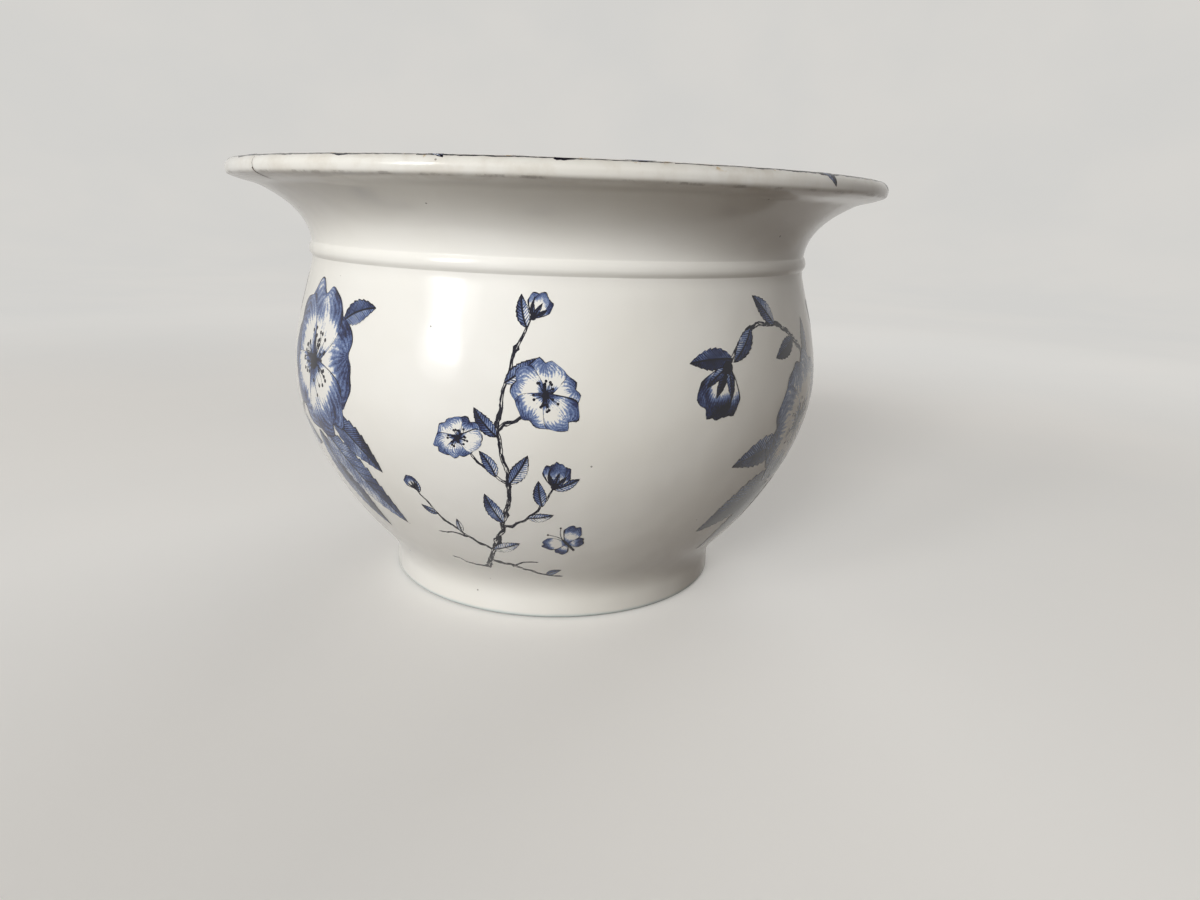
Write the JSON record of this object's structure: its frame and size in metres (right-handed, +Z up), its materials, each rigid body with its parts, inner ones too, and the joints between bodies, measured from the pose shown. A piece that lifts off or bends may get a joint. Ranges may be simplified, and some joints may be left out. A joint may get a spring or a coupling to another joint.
{
  "type": "chamber pot",
  "caption": "Glazed pottery chamber pot with a turned foot, round belly, beaded neck, wide flared rim, strap handle and blue printed floral sprays.",
  "frame": {"origin": "middle of the flat ring that the foot rests on", "axes": "+Z up along the pot's turning axis, +Y towards the handle, +X to the right seen from the front"},
  "size_m": [0.232, 0.2558, 0.15],
  "materials": {
    "white_glaze": "gloss",
    "blue_print": "gloss"
  },
  "bodies": {
    "root": {"foot_ring": "white_glaze", "bowl": "white_glaze", "neck_bead": "white_glaze", "flared_rim": "white_glaze", "handle": "white_glaze", "handle_upper_slip": "white_glaze", "handle_lower_slip": "white_glaze"}
  },
  "joints": []
}
